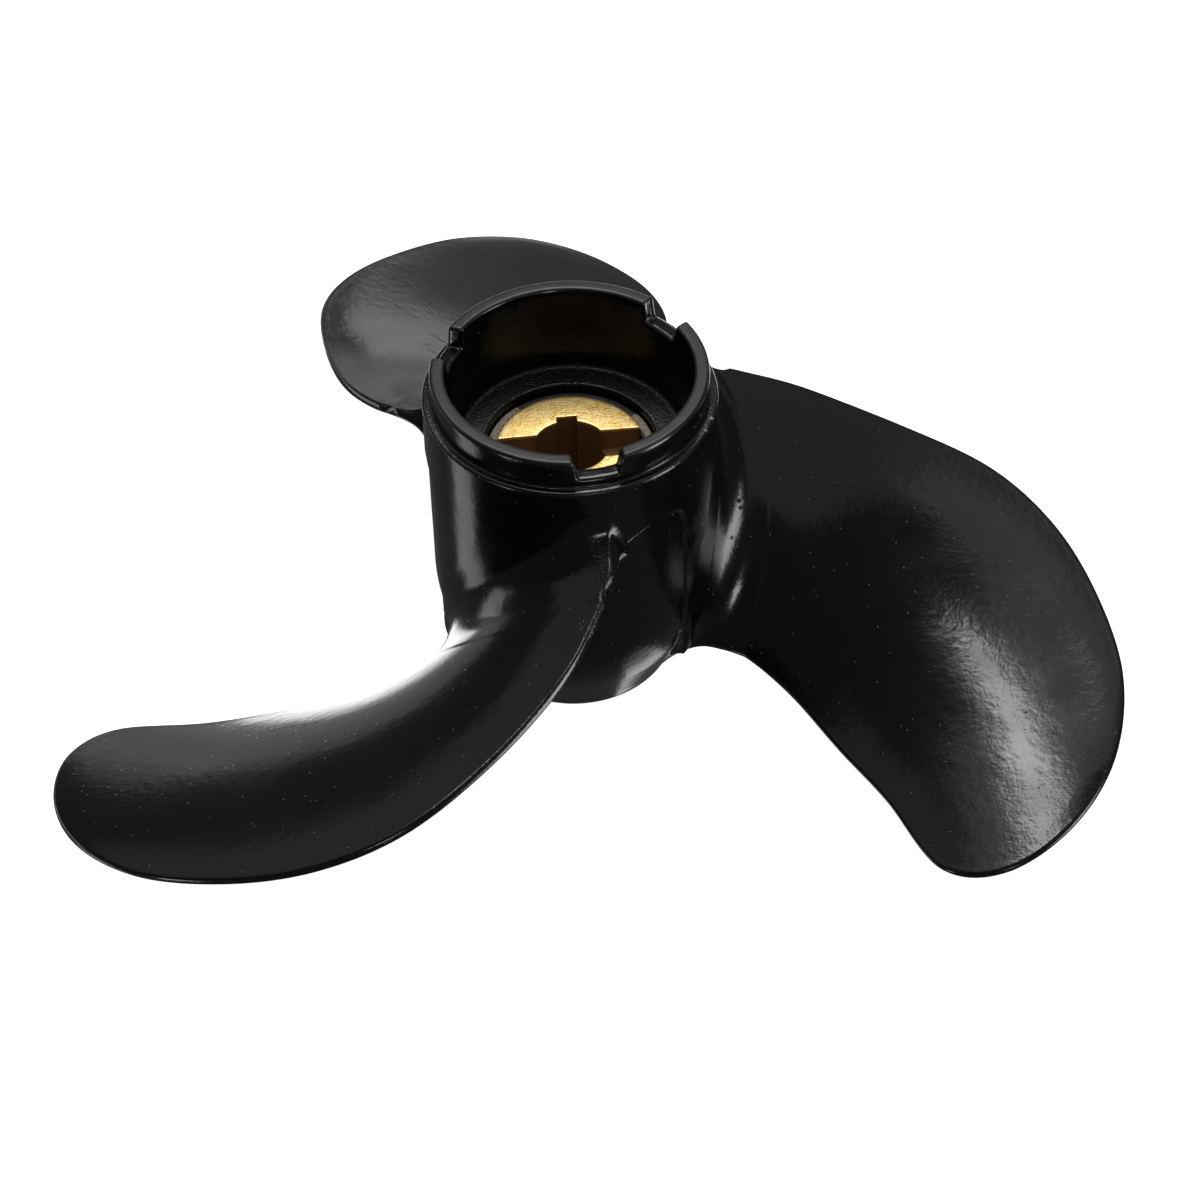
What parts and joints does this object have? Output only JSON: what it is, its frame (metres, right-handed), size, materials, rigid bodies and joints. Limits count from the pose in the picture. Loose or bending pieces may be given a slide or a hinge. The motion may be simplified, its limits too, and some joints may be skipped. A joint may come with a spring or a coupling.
{
  "type": "outboard motor propeller",
  "caption": "Small right-hand propeller for an outboard motor: swept blades cast with a hub, notched drive cup and pin-driven brass bush.",
  "frame": {"origin": "on the shaft axis at the centroid, between the root leading and trailing edges of the blades", "axes": "+Z along the shaft axis from the nose to the drive cup, +X near the middle of the first blade's root"},
  "size_m": [0.1701, 0.1622, 0.0602],
  "materials": {
    "painted_casting": "glossy black paint on die-cast aluminium",
    "bush_rubber": "moulded black rubber, matt",
    "bush_brass": "turned brass, fine satin grain"
  },
  "bodies": {
    "root": {"propeller_casting": "painted_casting", "rubber_sleeve": "bush_rubber", "drive_bush": "bush_brass"}
  },
  "joints": []
}
